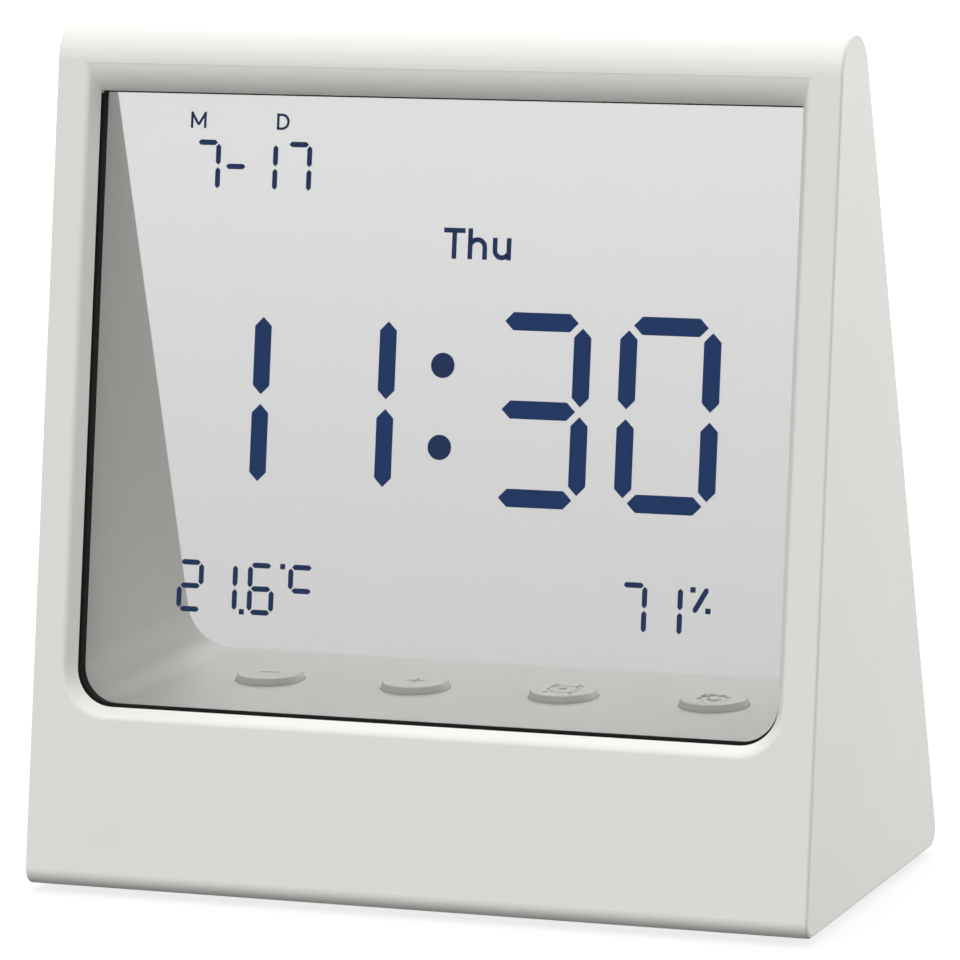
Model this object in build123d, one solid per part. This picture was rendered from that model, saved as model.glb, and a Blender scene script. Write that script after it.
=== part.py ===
"""Table clock with a see-through display, a thermometer and a hygrometer.

The case is a hollow wedge: a front frame that rolls over into a round ridge
bar, two flat side panels and a rear housing whose deck carries four keys.
Millimetres, +Z up, the front faces -Y, the origin is under the middle of the
case at the level of the feet.
"""
import os
from math import cos, radians, sin, sqrt, tan

from build123d import *

# Overall case
case_width = 115.0
case_height = 118.5
foot_height = 1.0
front_lean = radians(10.5)
rear_lean = radians(13.0)
ridge_radius = 5.7
ridge_wall = 3.5
front_roll = 2.1
rear_roll = 2.5
edge_round = 0.4

# Mouldings and the gaps between them
wall = 2.0
seam_depth = 0.45
seam_gap = 0.12
seam_top_gap = 0.03
fit_gap = 0.15
joint_gap = 0.2
panel_wall = 2.0
liner_wall = 1.7
panel_to_liner = 0.3

# Window in the front frame
window_side = 6.1
window_sill = 25.8
window_corner = 5.2
bevel_width = 1.4
bevel_depth = 2.3
bevel_land = 0.2
bevel_soft = 1.0

# Display stack behind the window
gasket_sill = 0.3
gasket_head = 0.1
gasket_thick = 1.6
polariser_thick = 0.18
glass_thick = 1.08
layer_gap = 0.02
display_overlap = 1.8
display_drop = 7.3
ledge = 4.0
slot_depth = 1.6
ridge_lip = 2.0
ridge_clear = 0.45

# Tunnel, deck and keys
deck_height = 24.0
cove_radius = 6.0
rear_inset = 0.8
rear_edge_round = 1.3
key_count = 4
key_pitch = 22.3
key_back = 33.0
key_radius = 4.95
key_draft = 0.28
key_proud = 1.0
key_travel = 0.5
key_flange = 0.9
key_fit = 0.1
key_rest = 0.1
key_spare = 0.3
key_brim = 0.9
key_soft = 0.25

# Electronics under the deck
board_length = 75.0
board_width = 20.0
board_thick = 0.8
board_drop = 2.9
board_shift = 1.5
board_edge = 2.6
board_post_radius = 2.5
switch_side = 6.0
switch_corner = 0.4
switch_height = 0.6
stem_radius = 1.7
stem_height = 0.3
chip_curve = 9.0
chip_height = 1.6
crystal_radius = 1.0
crystal_length = 6.0
crystal_edge = 2.5
buzzer_radius = 3.4
buzzer_height = 4.0
buzzer_hole = 0.8
ribbon_half = 19.0
ribbon_thick = 0.24
ribbon_gap = 0.05
ribbon_bend = 1.6
ribbon_drop = 3.5
ribbon_hold = 3.2
ribbon_slack = 6.0

# Vent slots and the climate sensor behind them
vent_count = 6
vent_width = 1.2
vent_pitch = 2.6
vent_low = 6.5
vent_high = 14.5
vent_end = 9.0
card_length = 17.4
card_low = 4.6
card_high = 14.0
card_thick = 0.8
card_rail = 0.8
sensor_side = 5.0
sensor_thick = 0.9
sensor_clear = 0.4
sensor_ribbon_half = 1.5
sensor_ribbon_side = 3.2

# Cells, battery bay and door
cell_radius = 5.25
cell_length = 44.5
cell_clear = 0.25
cell_bevel = 0.5
nub_length = 1.0
nub_radius = 1.9
cell_pitch = 11.2
bay_from_rear = 21.5
bay_side = 0.35
bay_wall = 1.0
bay_shoulder = 5.2
spring_space = 5.0
spring_wire = 0.35
spring_radius = 3.6
spring_turns = 3
contact_thick = 0.4
contact_half = 4.0
tab_width = 1.8
door_side = 2.4
door_front_lip = 2.6
door_lip = 0.9
door_rail = 1.2
door_tail = 3.0
grip_count = 5
grip_half = 8.0
grip_width = 0.9
grip_pitch = 1.8
grip_depth = 0.4
grip_rear = 15.0
front_lip = 13.0
rear_lip = 12.0
tongue = 2.5
tongue_end = 12.0
tongue_gap = 1.0

# Posts, pegs and lugs that join the mouldings
case_post_radius = 2.5
case_post_side = 5.0
case_post_front = 20.0
case_post_rear = 18.6
frame_post_radius = 2.8
frame_post_side = 14.0
frame_post_up = 11.0
ear_depth = 12.0
ear_half = 3.6
ear_thick = 1.8
peg_radius = 1.5
peg_length = 5.0
peg_front = 16.0
peg_rear = 27.6
peg_drop = 2.7
socket_wall = 1.2
socket_length = 6.5
plug_length = 6.0
guide_half = 0.6
guide_gap = 0.4

# Feet and screws
foot_radius = 2.8
foot_recess = 0.6
foot_side = 6.0
foot_front = 9.0
foot_rear = 8.0
screw_radius = 1.1
screw_bite = 0.2
screw_core = 0.25
head_radius = 2.2
head_height = 1.4
head_bevel = 0.4
drive_length = 2.4
drive_width = 0.5
drive_depth = 0.6
case_screw_length = 8.0
frame_screw_length = 8.0
board_screw_length = 3.0

# Values that follow from the sizes above
half = case_width / 2
ridge_rise = case_height - ridge_radius
ridge_back = ridge_rise * tan(front_lean) + ridge_radius / cos(front_lean)
case_depth = ridge_back + ridge_radius / cos(rear_lean) + ridge_rise * tan(rear_lean)
front_spread = 1 / cos(front_lean) + tan(front_lean)
rear_spread = 1 / cos(rear_lean) + tan(rear_lean)
front_most = front_roll * (front_spread - 1)
rear_most = case_depth - rear_roll * (rear_spread - 1)
front_y = -(front_most + rear_most) / 2
panel_inner = half - panel_wall
liner_half = panel_inner - panel_to_liner
tunnel_half = liner_half - liner_wall
window_half = half - window_side
ridge_slope = ridge_back * sin(front_lean) + ridge_rise * cos(front_lean)
gasket_front = bevel_depth + bevel_land + layer_gap
polariser_front = gasket_front + gasket_thick + layer_gap
glass_front = polariser_front + polariser_thick + layer_gap
glass_rear = glass_front + glass_thick + 2 * layer_gap
polariser_rear = glass_rear + glass_thick + layer_gap
display_back = polariser_rear + polariser_thick
liner_front = display_back + 0.3
display_half = window_half + display_overlap
display_foot = window_sill - display_drop
lip_depth = bevel_depth + bevel_land
lip_slope = ridge_slope - sqrt(ridge_radius ** 2 - (ridge_radius - ridge_lip) ** 2)
ridge_under = lip_slope + ridge_clear
slot_top = lip_slope + slot_depth
display_top = slot_top - 0.4
board_top = deck_height - wall - board_drop
board_bottom = board_top - board_thick
key_hole = key_radius + key_fit
switch_top = board_top + switch_height + stem_height
board_back = key_back - board_shift
door_top = wall
cell_z = door_top + fit_gap + cell_clear + cell_radius
bay_back = case_depth - bay_from_rear
bay_roof = cell_z + cell_radius + cell_clear
bay_half_long = (cell_length + spring_space + 3 * contact_thick) / 2
bay_half_wide = cell_pitch / 2 + cell_radius + bay_side
bay_outer_half = bay_half_long + bay_shoulder
door_half = bay_half_long + door_side
door_front = bay_back - bay_half_wide - door_front_lip
rear_lip_front = case_depth - rear_inset / cos(rear_lean) - rear_lip
head_seat = head_height - joint_gap

front_normal = (-cos(front_lean), sin(front_lean))
rear_normal = (cos(rear_lean), sin(rear_lean))
down_normal = (0.0, -1.0)

front_plane = Plane(
    origin=(0, front_y, foot_height),
    x_dir=(1, 0, 0),
    z_dir=(0, -cos(front_lean), sin(front_lean)),
)


def at(back, up):
    """Point of the side view, measured from the front lower corner of the case."""
    return (front_y + back, foot_height + up)


def along(point, direction, distance):
    """Point moved along a direction of the side view."""
    return (point[0] + direction[0] * distance, point[1] + direction[1] * distance)


def between(first, second):
    """Direction halfway between two directions of the side view."""
    total = (first[0] + second[0], first[1] + second[1])
    size = sqrt(total[0] ** 2 + total[1] ** 2)
    return (total[0] / size, total[1] / size)


ridge_centre = at(ridge_back, ridge_rise)


def on_slope(slope, depth):
    """Point of the side view, measured up the front face and behind it."""
    return at(
        slope * sin(front_lean) + depth * cos(front_lean),
        slope * cos(front_lean) - depth * sin(front_lean),
    )


def rear_at(up, inset):
    """Distance back of the sloping rear face at a height."""
    return case_depth - up * tan(rear_lean) - inset / cos(rear_lean)


def wedge(inset, front_radius, rear_radius, top_inset=None):
    """Side outline of the case moved inwards by an inset, at the ridge by its own if given."""
    top = inset if top_inset is None else top_inset
    front_reach = inset + front_radius
    rear_reach = inset + rear_radius
    front = at(front_reach * front_spread, front_reach)
    rear = at(case_depth - rear_reach * rear_spread, rear_reach)
    corners = (
        (front, front_radius, front_normal, down_normal),
        (rear, rear_radius, down_normal, rear_normal),
        (ridge_centre, ridge_radius - top, rear_normal, front_normal),
    )
    arcs = []
    for centre, radius, first, second in corners:
        start = along(centre, first, radius)
        middle = along(centre, between(first, second), radius)
        end = along(centre, second, radius)
        arcs.append((start, middle, end))
    with BuildSketch(Plane.YZ) as sketch:
        with BuildLine():
            for number in range(3):
                ThreePointArc(*arcs[number])
                Line(arcs[number][2], arcs[(number + 1) % 3][0])
        make_face()
    return sketch.sketch


def side_polygon(points):
    """Face in the side view from a list of points."""
    return Plane.YZ * make_face(Polyline(*points, close=True))


def disc(radius):
    """Disc in the side view around the axis of the ridge bar."""
    return Plane.YZ * Pos(*ridge_centre) * Circle(radius)


def across(face, half_width):
    """Prism of a side-view face, symmetrical about the middle."""
    return extrude(face, amount=half_width, dir=(1, 0, 0), both=True)


def block(x0, x1, back0, back1, up0, up1):
    """Upright box measured from the front lower corner of the case."""
    size = Box(x1 - x0, back1 - back0, up1 - up0)
    middle = at((back0 + back1) / 2, (up0 + up1) / 2)
    return Pos((x0 + x1) / 2, middle[0], middle[1]) * size


def leaf(half_width, low, high, front, back):
    """Box parallel to the front face, depths measured behind that face."""
    size = Box(2 * half_width, high - low, back - front)
    return front_plane * Pos(0, (low + high) / 2, -(front + back) / 2) * size


def post(x, back, low, high, radius):
    """Upright cylinder."""
    middle = at(back, (low + high) / 2)
    return Pos(x, middle[0], middle[1]) * Cylinder(radius, high - low)


def opening(half_width, sill, top, corner):
    """Window outline in the front plane with two rounded lower corners."""
    points = ((-half_width, top), (-half_width, sill), (half_width, sill), (half_width, top))
    face = make_face(Polyline(*points, close=True))
    return fillet(face.vertices().sort_by(Axis.Y)[:2], corner)


def both_sides(solid):
    """A solid together with its mirror image across the middle."""
    return solid + mirror(solid, about=Plane.YZ)


def group(solids):
    """Several separate solids kept together as one node."""
    return Compound(children=list(solids))


def rim_zone(margin):
    """Region of the side view that holds the rolled rim of the front frame."""
    turn = (sin(rear_lean), -cos(rear_lean))
    hinge = along(ridge_centre, turn, margin)
    foot = front_roll * front_spread + margin
    far = 3 * ridge_radius
    return side_polygon((
        hinge,
        along(hinge, rear_normal, far),
        (ridge_centre[0] + far, ridge_centre[1] + far),
        (front_y - far, ridge_centre[1] + far),
        (front_y - far, foot_height - far),
        at(foot, -far),
        at(foot, front_roll),
    ))


def panel_zone(inset, margin, top_inset):
    """Region of the side view that belongs to a side panel."""
    outer = wedge(0, front_roll, rear_roll)
    inner = wedge(inset, front_roll - inset, rear_roll - inset, top_inset)
    return outer - ((outer - inner) & rim_zone(margin))


def case_block():
    """Solid wedge with rounded end edges, the outside of the whole case."""
    solid = across(wedge(0, front_roll, rear_roll), half)
    ends = solid.faces().filter_by(Axis.X)
    return fillet(ends.edges(), edge_round)


key_places = [(number - (key_count - 1) / 2) * key_pitch for number in range(key_count)]
board_posts = [
    (side * key_pitch, board_back + step * (board_width / 2 - board_edge))
    for side in (-1, 1)
    for step in (-1, 1)
]
case_posts = [
    (side * (liner_half - case_post_side), back)
    for side in (-1, 1)
    for back in (case_post_front, case_depth - case_post_rear)
]
frame_posts = [side * (liner_half - frame_post_side) for side in (-1, 1)]
peg_places = [
    (back, deck_height - wall - peg_drop)
    for back in (peg_front, case_depth - peg_rear)
]
vent_start = liner_half - vent_end - (vent_count - 1) * vent_pitch - vent_width
sensor_x = (vent_start + liner_half - vent_end) / 2
card_rear = rear_at(card_high, rear_inset + wall) - sensor_clear - sensor_thick
card_front = card_rear - card_thick
tab_places = [bay_back + side * (cell_pitch / 2 - contact_half + tab_width / 2) for side in (-1, 1)]
feet_places = [
    (side * (half - foot_side), back)
    for side in (-1, 1)
    for back in (foot_front, case_depth - foot_rear)
]


def window_cutter():
    """Bevelled window with a softened rim, stopped just under the ridge bar."""
    slope = bevel_width / bevel_depth
    outlines = []
    for depth in (-1.0, bevel_depth):
        spread = (bevel_depth - depth) * slope
        width = window_half + spread
        outline = opening(width, window_sill - spread, 2 * case_height, window_corner + spread)
        outlines.append(front_plane * Pos(0, 0, -depth) * outline)
    straight = opening(window_half, window_sill, 2 * case_height, window_corner)
    plate = leaf(half, 0, case_height, 0, 3 * wall) - loft(outlines)
    plate -= extrude(front_plane * straight, amount=-4 * wall)
    reach = window_half + bevel_width + 0.1
    rim = [
        edge for edge in plate.edges()
        if abs(front_plane.to_local_coords(edge.center()).Z) < 0.01
        and abs(front_plane.to_local_coords(edge.center()).X) < reach
        and window_sill - bevel_width - 0.1 < front_plane.to_local_coords(edge.center()).Y < case_height - 1
    ]
    plate = fillet(rim, bevel_soft)
    room = leaf(reach + 1, window_sill - bevel_width - 1.5, ridge_slope - 0.6, 0, 3 * wall)
    return room - plate - across(disc(ridge_radius), half)


def front_frame():
    """Front face, round ridge bar and rolled lower edge in one moulding."""
    hollow = wedge(wall, front_roll - wall, rear_roll - wall)
    behind = side_polygon((
        at(front_lip, -wall),
        at(front_lip, front_lip),
        ridge_centre,
        along(ridge_centre, rear_normal, 3 * ridge_radius),
        at(2 * case_depth, ridge_rise),
        at(2 * case_depth, -wall),
    ))
    frame = case_block() - across(hollow + behind - disc(ridge_radius), half)
    frame -= window_cutter()
    frame -= leaf(display_half + 0.4, display_foot - 0.4, slot_top, lip_depth, display_back + 0.2)
    frame -= leaf(window_half, lip_slope - ridge_radius, lip_slope, ridge_lip, 2 * lip_depth)
    frame -= leaf(liner_half, ridge_under - ridge_radius, ridge_under, lip_depth, 3 * ridge_radius)
    frame -= across(disc(ridge_radius - ridge_wall), half)
    pocket = extrude(panel_zone(seam_depth, 0, seam_depth), amount=half, dir=(1, 0, 0))
    frame -= both_sides(Pos(liner_half, 0, 0) * pocket)
    guide = leaf(guide_half, display_foot, slot_top - 2 * wall, wall / 2, display_back)
    frame += both_sides(Pos(display_half + guide_gap + guide_half, 0, 0) * guide)
    for x in frame_posts:
        boss = front_plane * Pos(x, frame_post_up, -(wall / 2 + ear_depth) / 2)
        frame += boss * Cylinder(frame_post_radius, ear_depth - wall / 2)
        frame -= boss * Cylinder(screw_radius - screw_bite, ear_depth - wall / 2)
    for x, back in feet_places:
        frame -= post(x, back, -1.0, foot_recess, foot_radius + fit_gap)
    return frame


def side_panel(side):
    """Flat cheek with a plug for the ridge bar and two locating pegs."""
    zone = panel_zone(seam_depth + seam_gap, seam_gap, seam_depth + seam_top_gap)
    plate = extrude(zone, amount=half, dir=(1, 0, 0))
    panel = (Pos(panel_inner, 0, 0) * plate) & case_block()
    plug = Rot(0, 90, 0) * Cylinder(ridge_radius - ridge_wall - fit_gap, plug_length + panel_wall / 2)
    panel += Pos(panel_inner + (panel_wall / 2 - plug_length) / 2, *ridge_centre) * plug
    panel -= leaf(display_half + fit_gap, 0, slot_top + fit_gap, 0, liner_front)
    for back, up in peg_places:
        peg = Rot(0, 90, 0) * Cylinder(peg_radius, peg_length + panel_wall / 2)
        panel += Pos(panel_inner + (panel_wall / 2 - peg_length) / 2, *at(back, up)) * peg
    return panel if side > 0 else mirror(panel, about=Plane.YZ)


def tunnel_room(margin):
    """Inside of the tunnel above the deck, grown by a margin."""
    width = tunnel_half + margin
    low = deck_height - margin
    points = ((-width, 2 * case_height), (-width, low), (width, low), (width, 2 * case_height))
    face = make_face(Polyline(*points, close=True))
    face = fillet(face.vertices().sort_by(Axis.Y)[:2], cove_radius + margin)
    return extrude(Plane.XZ * Pos(0, foot_height, 0) * face, amount=case_depth, both=True)


def card_rails():
    """Two grooved rails on the rear wall that hold the sensor card upright."""
    front = card_front - fit_gap - card_rail
    low = card_low - card_rail
    inset = rear_inset + wall / 2
    side = side_polygon((
        at(front, low),
        at(rear_at(low, inset), low),
        at(rear_at(card_high, inset), card_high),
        at(front, card_high),
    ))
    rails = None
    for end in (-1, 1):
        rail = Pos(sensor_x + end * card_length / 2, 0, 0) * across(side, card_rail + fit_gap)
        rails = rail if rails is None else rails + rail
    reach = card_length / 2 + fit_gap
    groove = block(
        sensor_x - reach, sensor_x + reach, card_front - fit_gap, card_rear + fit_gap,
        card_low - layer_gap, card_high + wall,
    )
    return rails - groove


def rear_housing():
    """Tunnel walls, deck with the key holes and the rear wall of the base."""
    top = ridge_under - joint_gap
    far = 4 * ridge_radius
    above = side_polygon((
        on_slope(top, -far),
        on_slope(top, far),
        on_slope(top + far, far),
        on_slope(top + far, -far),
    ))
    liner = wedge(rear_inset, front_roll, rear_roll) - (disc(ridge_radius + joint_gap) & above)
    front = leaf(case_width, -case_height, 2 * case_height, -case_depth, liner_front)
    shell = across(liner, liner_half) - front
    shell = shell & tunnel_room(liner_wall)
    deck_back = rear_at(deck_height - wall, rear_inset + wall)
    rear = side_polygon((
        at(rear_at(deck_height + cove_radius, rear_inset), deck_height + cove_radius),
        at(rear_at(0, rear_inset), 0),
        at(rear_lip_front, 0),
        at(rear_lip_front, wall),
        at(rear_at(wall, rear_inset + wall), wall),
        at(deck_back, deck_height - wall),
        at(rear_at(deck_height + cove_radius, rear_inset + wall), deck_height + cove_radius),
    ))
    lower_corner = (0, *at(rear_at(0, rear_inset), 0))
    rear = fillet(rear.vertices().sort_by_distance(lower_corner)[0], rear_roll)
    housing = shell + across(rear, liner_half) - tunnel_room(0)
    mouth = [
        edge for edge in housing.edges()
        if abs(edge.center().Y - at(rear_at(edge.center().Z - foot_height, rear_inset), 0)[0]) < 0.02
        and abs(edge.center().X) < tunnel_half + 0.01
        and edge.center().Z > foot_height + deck_height - 0.01
        and edge.center().Z < foot_height + ridge_rise - 2 * ridge_radius
    ]
    housing = fillet(mouth, rear_edge_round)
    root = deck_height - liner_wall / 4
    for x in key_places:
        housing -= post(x, key_back, deck_height - 2 * wall, deck_height + wall, key_hole)
    for x, back in board_posts:
        housing += post(x, back, board_top, root, board_post_radius)
        housing -= post(x, back, board_top - wall, deck_height - wall, screw_radius - screw_bite)
    for x, back in case_posts:
        housing += post(x, back, wall + fit_gap, root, case_post_radius)
        housing -= post(x, back, wall, case_screw_length + 2 * wall, screw_radius - screw_bite)
    for x in frame_posts:
        ear_front = ear_depth + joint_gap
        ear_back = ear_front + ear_thick
        ear_top = (root + ear_front * sin(front_lean)) / cos(front_lean)
        ear = leaf(ear_half, frame_post_up - ear_half, ear_top, ear_front, ear_back)
        hole = Cylinder(screw_radius + screw_bite, 4 * ear_thick)
        housing += Pos(x, 0, 0) * ear
        housing -= front_plane * Pos(x, frame_post_up, -ear_front) * hole
    for back, up in peg_places:
        socket = Rot(0, 90, 0) * Cylinder(peg_radius + fit_gap + socket_wall, socket_length)
        hole = Rot(0, 90, 0) * Cylinder(peg_radius + fit_gap, socket_length)
        place = Pos(liner_half - socket_length / 2, *at(back, up))
        web = block(
            liner_half - socket_length, tunnel_half, back - socket_wall, back + socket_wall,
            up, root,
        )
        housing += both_sides(place * socket + web)
        housing -= both_sides(place * hole)
    for number in range(vent_count):
        slot = block(0, vent_width, rear_lip_front, case_depth, vent_low, vent_high)
        housing -= Pos(vent_start + vent_pitch * number, 0, 0) * slot
    housing += card_rails()
    channel = door_half + fit_gap
    housing -= block(-channel, channel, rear_lip_front - 1.0, case_depth, -1.0, door_top + fit_gap)
    for x, back in feet_places:
        housing -= post(x, back, -1.0, foot_recess, foot_radius + fit_gap)
    return housing


def base_plate():
    """Bottom cover with the battery bay and the rails of its door."""
    front = front_lip + joint_gap
    rear = rear_lip_front - joint_gap
    bay_front = bay_back - bay_half_wide - bay_wall
    bay_rear = bay_back + bay_half_wide + bay_wall
    plate = block(-liner_half, liner_half, front, rear, 0, wall)
    room = wall + fit_gap
    tongue_inner = bay_outer_half + tongue_gap
    tongue_outer = liner_half - tongue_end
    for edge, inwards in ((front, 1), (rear, -1)):
        root = sorted((edge, edge + inwards * tongue))
        reach = sorted((edge - inwards * tongue, edge + inwards * tongue))
        plate += both_sides(block(tongue_inner, tongue_outer, *root, wall / 2, 2 * wall))
        plate += both_sides(block(tongue_inner, tongue_outer, *reach, room, 2 * wall))
    plate += block(-bay_outer_half, bay_outer_half, bay_front, rear, wall / 2, bay_roof + bay_wall)
    plate += block(-bay_outer_half, bay_outer_half, bay_front, bay_rear, room, bay_roof + bay_wall)
    long = bay_half_long
    plate -= block(-long, long, bay_back - bay_half_wide, bay_back + bay_half_wide, -wall, bay_roof)
    for back in tab_places:
        half_tab = tab_width / 2 + fit_gap
        start = long - contact_thick - 2 * fit_gap
        above = bay_roof + 2 * bay_wall
        plate -= block(start, long + fit_gap, back - half_tab, back + half_tab, cell_z, above)
    channel = door_half + fit_gap
    plate -= block(-channel, channel, door_front - fit_gap, case_depth, door_lip + fit_gap / 2, room)
    inner = channel - door_rail
    plate -= block(-inner, inner, door_front - fit_gap, case_depth, -wall, door_top)
    for x, back in case_posts:
        plate -= post(x, back, -wall, 2 * wall, screw_radius + screw_bite)
        plate -= post(x, back, -wall, head_seat, head_radius + 2 * fit_gap)
    return plate


def battery_door():
    """Cover that slides out to the rear, with side rails and a ribbed grip."""
    inner = door_half - door_rail
    door = block(-inner, inner, door_front, case_depth, 0, door_top)
    door += block(-door_half, door_half, door_front, rear_at(0, door_tail), door_lip + fit_gap, door_top)
    skin = across(wedge(rear_inset, front_roll, rear_roll), half)
    skin += block(-half, half, 0, rear_at(0, rear_inset + rear_roll * rear_spread), 0, 2 * wall)
    door = door & skin
    for number in range(grip_count):
        groove = block(-grip_half, grip_half, 0, grip_width, -wall, grip_depth)
        door -= Pos(0, case_depth - grip_rear + grip_pitch * number, 0) * groove
    return door


def key(x):
    """Round key cap with a soft rim, a retaining brim and a short stem."""
    skirt = deck_height - wall
    brim_top = skirt - key_rest
    cap = Cone(key_radius, key_radius - key_draft, key_proud)
    solid = Pos(x, *at(key_back, deck_height + key_proud / 2)) * cap
    solid = fillet(solid.edges().sort_by(Axis.Z)[-1], key_soft)
    solid += post(x, key_back, brim_top, deck_height, key_radius)
    solid += post(x, key_back, brim_top - key_flange, brim_top, key_radius + key_brim)
    solid += post(x, key_back, switch_top + key_travel + key_spare, skirt, stem_radius)
    return solid


def gasket():
    """Dark foam frame between the window lip and the display."""
    face = Pos(0, (display_foot + ledge + display_top) / 2) * Rectangle(
        2 * display_half, display_top - display_foot - ledge
    )
    inner = opening(window_half, window_sill + gasket_sill, lip_slope - gasket_head, window_corner)
    return extrude(front_plane * Pos(0, 0, -gasket_front) * (face - inner), amount=-gasket_thick)


def flat_cable(points, bend, half_width):
    """Flat cable that follows a path of the side view."""
    path = FilletPolyline(*points, radius=bend)
    return across(Plane.YZ * trace(path, ribbon_thick), half_width)


def display_ribbon():
    """Flat cable from the contact ledge of the display back to the board."""
    depth = glass_rear - layer_gap - ribbon_thick / 2
    board_front = board_back - board_width / 2
    lift = board_top + ribbon_gap + ribbon_thick / 2
    points = (
        on_slope(display_foot + ledge - 2 * ribbon_thick, depth),
        on_slope(display_foot - ribbon_drop, depth),
        at(board_front - ribbon_slack, board_top - ribbon_drop),
        at(board_front - ribbon_bend, lift),
        at(board_front + ribbon_hold, lift),
    )
    return flat_cable(points, ribbon_bend, ribbon_half)


def sensor_ribbon():
    """Flat cable from the sensor card up to the underside of the board."""
    board_rear = board_back + board_width / 2
    face = card_front - ribbon_gap - ribbon_thick / 2
    hang = board_bottom - ribbon_gap - ribbon_thick / 2
    points = (
        at(face, card_high - ribbon_hold),
        at(face, card_high + ribbon_bend),
        at(board_rear + ribbon_bend, hang),
        at(board_rear - ribbon_hold, hang),
    )
    cable = flat_cable(points, ribbon_bend / 2, sensor_ribbon_half)
    return Pos(sensor_x - sensor_ribbon_side, 0, 0) * cable


def main_board():
    """Circuit board hung under the deck."""
    long = board_length / 2
    front = board_back - board_width / 2
    rear = board_back + board_width / 2
    board = block(-long, long, front, rear, board_bottom, board_top - layer_gap)
    for x, back in board_posts:
        board -= post(x, back, 0, case_height, screw_radius + fit_gap)
    return board


def switches():
    """Four push switches with round stems."""
    half_side = switch_side / 2
    base = board_top + layer_gap
    solids = []
    for x in key_places:
        body = block(
            x - half_side, x + half_side, key_back - half_side, key_back + half_side,
            base, base + switch_height,
        )
        body = chamfer(body.edges().filter_by(Axis.Z), switch_corner)
        solids.append(body + post(x, key_back, base + switch_height, switch_top, stem_radius))
    return group(solids)


def chip_cover():
    """Drop of black resin over the clock chip."""
    slab = Pos(0, 0, chip_curve) * Box(2 * chip_curve, 2 * chip_curve, 2 * chip_height)
    drop = Sphere(chip_curve) & slab
    return Pos(0, *at(board_back, board_top + layer_gap + chip_height - chip_curve)) * drop


def quartz_crystal():
    """Tuning-fork crystal can lying on the board."""
    can = Rot(0, 90, 0) * Cylinder(crystal_radius, crystal_length)
    back = board_back + board_width / 2 - crystal_edge
    return Pos(0, *at(back, board_top + layer_gap + crystal_radius)) * can


def buzzer():
    """Round sounder under one end of the board."""
    low = board_bottom - buzzer_height
    x = buzzer_radius + layer_gap - board_length / 2
    solid = post(x, board_back, low, board_bottom - layer_gap, buzzer_radius)
    return solid - post(x, board_back, low - wall, low + buzzer_hole, buzzer_hole)


def climate_sensor():
    """Small sensor card that stands behind the vent slots."""
    start = sensor_x - card_length / 2
    end = sensor_x + card_length / 2
    middle = (vent_low + vent_high) / 2
    half_chip = sensor_side / 2
    card = block(start, end, card_front, card_rear, card_low, card_high)
    return card + block(
        sensor_x - half_chip, sensor_x + half_chip, card_rear - card_thick / 2, card_rear + sensor_thick,
        middle - half_chip, middle + half_chip,
    )


def cell(direction, back):
    """Round cell lying across the bay with its nub on one side."""
    start = bay_half_long - 2 * contact_thick
    can = cell_length - nub_length
    body = Pos(start - nub_length - can / 2, 0, 0) * Rot(0, 90, 0) * Cylinder(cell_radius, can)
    body = chamfer(body.edges(), cell_bevel)
    body += Pos(start - nub_length / 2, 0, 0) * Rot(0, 90, 0) * Cylinder(nub_radius, nub_length)
    if direction < 0:
        body = mirror(body, about=Plane.YZ)
    return Pos(0, *at(back, cell_z)) * body


def contact_plates():
    """Bridge on one side, two single plates with tabs up to the board on the other."""
    outer = bay_half_long - layer_gap
    inner = outer - contact_thick
    low = cell_z - contact_half
    high = cell_z + contact_half
    bridge_half = cell_pitch / 2 + contact_half
    solids = [block(-outer, -inner, bay_back - bridge_half, bay_back + bridge_half, low, high)]
    for side, tab in zip((-1, 1), tab_places):
        back = bay_back + side * cell_pitch / 2
        plate = block(inner, outer, back - contact_half, back + contact_half, low, high)
        half_tab = tab_width / 2
        plate += block(inner, outer, tab - half_tab, tab + half_tab, cell_z, board_bottom - layer_gap)
        solids.append(plate)
    return group(solids)


def contact_springs():
    """Conical wire springs against the flat ends of the cells."""
    flat_end = cell_length - bay_half_long + 2 * contact_thick
    height = bay_half_long - contact_thick - flat_end - 2 * spring_wire - 4 * ribbon_gap
    coil = Helix(pitch=height / spring_turns, height=height, radius=spring_radius, cone_angle=-14)
    section = Plane(origin=coil @ 0, z_dir=coil % 0) * RegularPolygon(spring_wire, 6)
    spring = sweep(section, path=coil)
    near = bay_half_long - contact_thick - spring_wire - 2 * ribbon_gap
    solids = []
    for side, back in ((-1, bay_back - cell_pitch / 2), (1, bay_back + cell_pitch / 2)):
        turn = Pos(side * near, *at(back, cell_z)) * Rot(0, -90 * side, 0)
        solids.append(turn * spring)
    return group(solids)


def feet():
    """Four soft round pads."""
    top = foot_recess - layer_gap
    return group(post(x, back, -foot_height, top, foot_radius) for x, back in feet_places)


def screw(length):
    """Pan-head screw pointing up, with a crossed drive, head under the origin."""
    solid = Pos(0, 0, -head_height / 2) * Cylinder(head_radius, head_height)
    solid = chamfer(solid.edges().sort_by(Axis.Z)[0], head_bevel)
    solid += Pos(0, 0, length / 2) * Cylinder(screw_radius - screw_core, length)
    for angle in (0, 90):
        slot = Box(drive_length, drive_width, 2 * drive_depth)
        solid -= Pos(0, 0, -head_height) * Rot(0, 0, angle) * slot
    return solid


def case_screws():
    """Screws that hold the bottom cover to the rear housing."""
    seat = head_seat - layer_gap
    return group(Pos(x, *at(back, seat)) * screw(case_screw_length) for x, back in case_posts)


def frame_screws():
    """Screws that hold the front frame to the rear housing."""
    seat = ear_depth + joint_gap + ear_thick + layer_gap
    turn = front_plane * Pos(0, frame_post_up, -seat)
    return group(turn * Pos(x, 0, 0) * screw(frame_screw_length) for x in frame_posts)


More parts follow.
